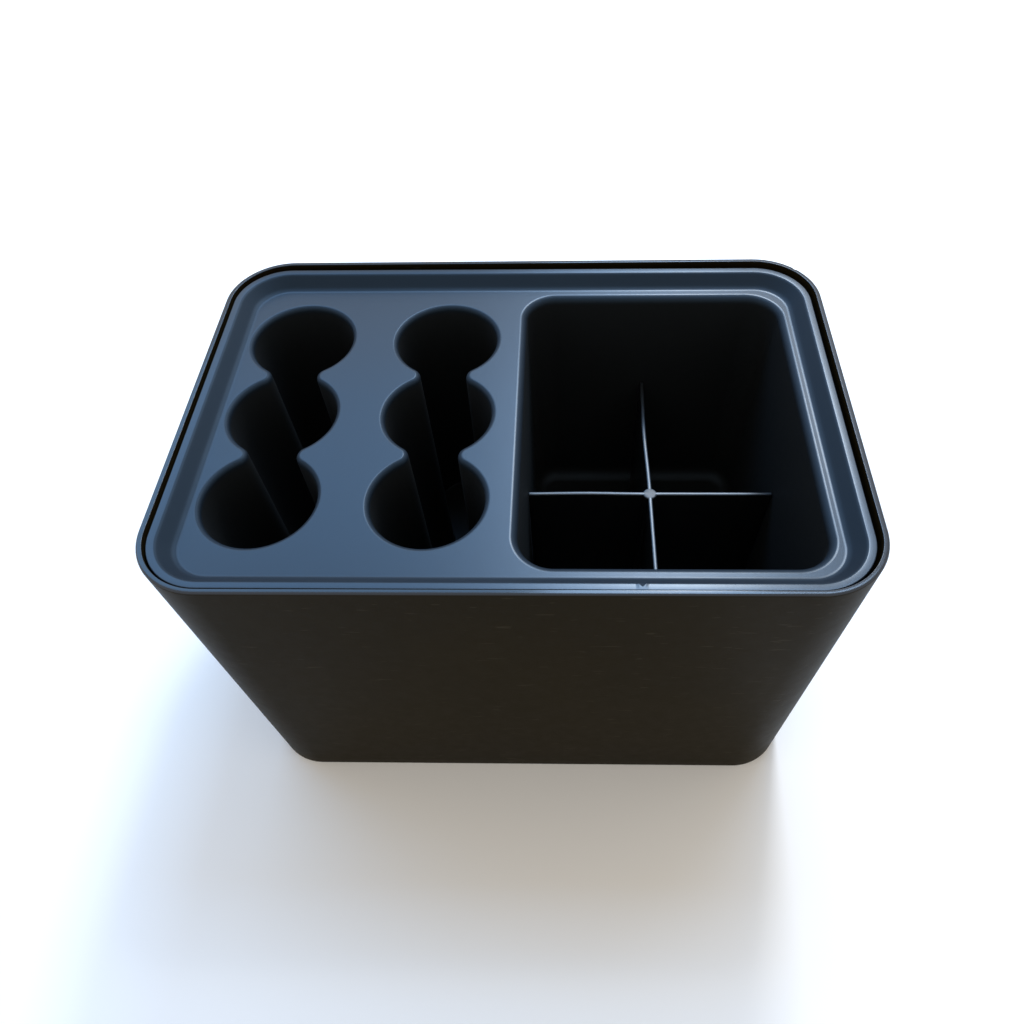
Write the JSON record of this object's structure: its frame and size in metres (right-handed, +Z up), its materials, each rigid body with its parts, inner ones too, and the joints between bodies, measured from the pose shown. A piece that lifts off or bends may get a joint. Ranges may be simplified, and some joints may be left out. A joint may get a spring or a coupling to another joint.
{
  "type": "divided desktop caddy",
  "caption": "Open rectangular moulded caddy with rounded corners; a drop-in insert has rows of joined round wells and a deep bin with a loose cross divider.",
  "frame": {"origin": "middle of the shell's base, on the surface it stands on", "axes": "+Z up, +X to the right along the long side, +Y to the back; the wells are on the left and the bin is on the right"},
  "size_m": [0.3, 0.206, 0.193],
  "materials": {
    "shell_plastic": "satin black moulded plastic with faint haze and fine rubbing marks",
    "insert_plastic": "satin black moulded plastic, smooth, lightly dusty in the wells",
    "divider_plastic": "satin black moulded plastic, thin vanes"
  },
  "bodies": {
    "shell": {"shell_sides": "shell_plastic", "shell_base": "shell_plastic", "rest_ribs": "shell_plastic"},
    "insert": {"insert_rim": "insert_plastic", "deck_left": "insert_plastic", "deck_middle": "insert_plastic", "deck_right": "insert_plastic", "well_left_front": "insert_plastic", "well_left_middle": "insert_plastic", "well_left_back": "insert_plastic", "well_right_front": "insert_plastic", "well_right_middle": "insert_plastic", "well_right_back": "insert_plastic", "bin_cup": "insert_plastic"},
    "divider": {"cross_divider": "divider_plastic"}
  },
  "joints": [
    {"name": "insert_lift", "type": "slide", "parent": "shell", "child": "insert", "axis": [0, 0, 1], "range_m": [0, 0.16]},
    {"name": "divider_lift", "type": "slide", "parent": "insert", "child": "divider", "axis": [0, 0, 1], "range_m": [0, 0.155]}
  ]
}
